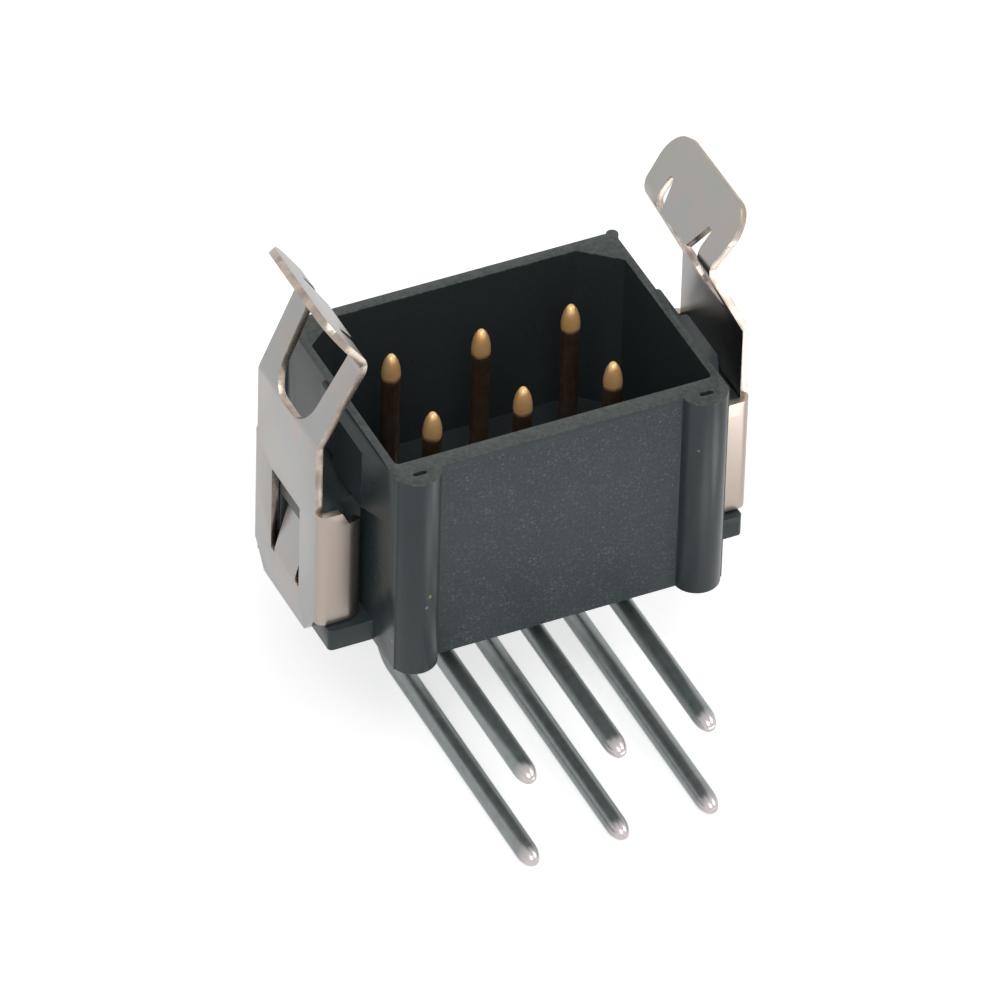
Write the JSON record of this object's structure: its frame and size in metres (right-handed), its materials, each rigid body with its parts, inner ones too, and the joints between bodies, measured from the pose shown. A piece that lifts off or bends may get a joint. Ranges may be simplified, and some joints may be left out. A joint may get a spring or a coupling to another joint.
{
  "type": "pin header",
  "caption": "Shrouded right-angle pin header with bent solder tails and a sprung sheet-metal latch at each end.",
  "frame": {"origin": "middle of the contact grid, on the floor inside the housing", "axes": "+Z is the mating direction, X runs along the rows of contacts, and the tails leave towards -Y"},
  "size_m": [0.0096, 0.0089, 0.0115],
  "materials": {
    "moulding": "moulded, glass-filled",
    "contact": "plated",
    "latch_sheet": "satin"
  },
  "bodies": {
    "root": {"housing": "moulding", "front_contact_1": "contact", "front_contact_2": "contact", "front_contact_3": "contact", "back_contact_1": "contact", "back_contact_2": "contact", "back_contact_3": "contact", "left_latch": "latch_sheet", "right_latch": "latch_sheet"}
  },
  "joints": []
}
